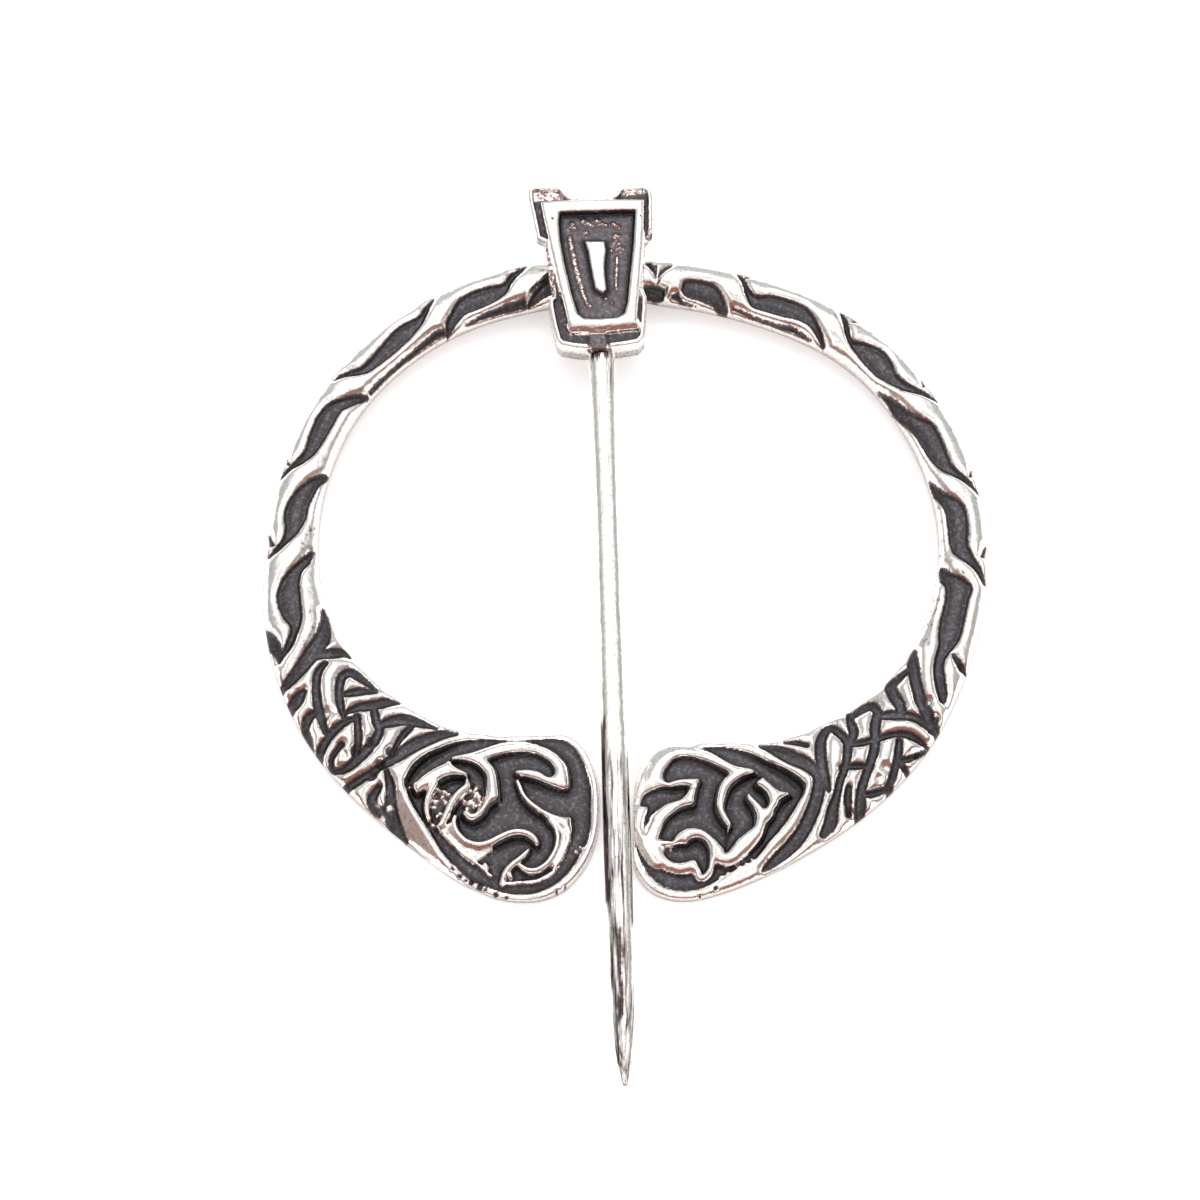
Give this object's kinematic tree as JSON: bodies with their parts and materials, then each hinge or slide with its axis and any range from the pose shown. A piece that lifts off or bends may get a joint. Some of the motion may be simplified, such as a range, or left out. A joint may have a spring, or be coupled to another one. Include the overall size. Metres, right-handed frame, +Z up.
{
  "type": "penannular kilt pin brooch",
  "caption": "Open ring brooch in cast silver with broad carved terminals, and a long pin that swings on the hoop by its collared head.",
  "frame": {"origin": "middle of the brooch's length and width, on the surface that it lies on", "axes": "+X across the ring, +Y along the pin from its point to its head, +Z up, out of the decorated face"},
  "size_m": [0.042, 0.0562, 0.0042],
  "materials": {
    "silver": "cast silver, polished on the raised work and oxidised dark grey in the recesses"
  },
  "bodies": {
    "ring": {"ring": "silver"},
    "pin": {"pin": "silver"}
  },
  "joints": [
    {"name": "pin_swing", "type": "hinge", "parent": "ring", "child": "pin", "pos_m": [-0.00159, 0.02234, 0.00189], "axis": [-0.9965, -0.0837, 0], "range_deg": [-60, 170]}
  ]
}
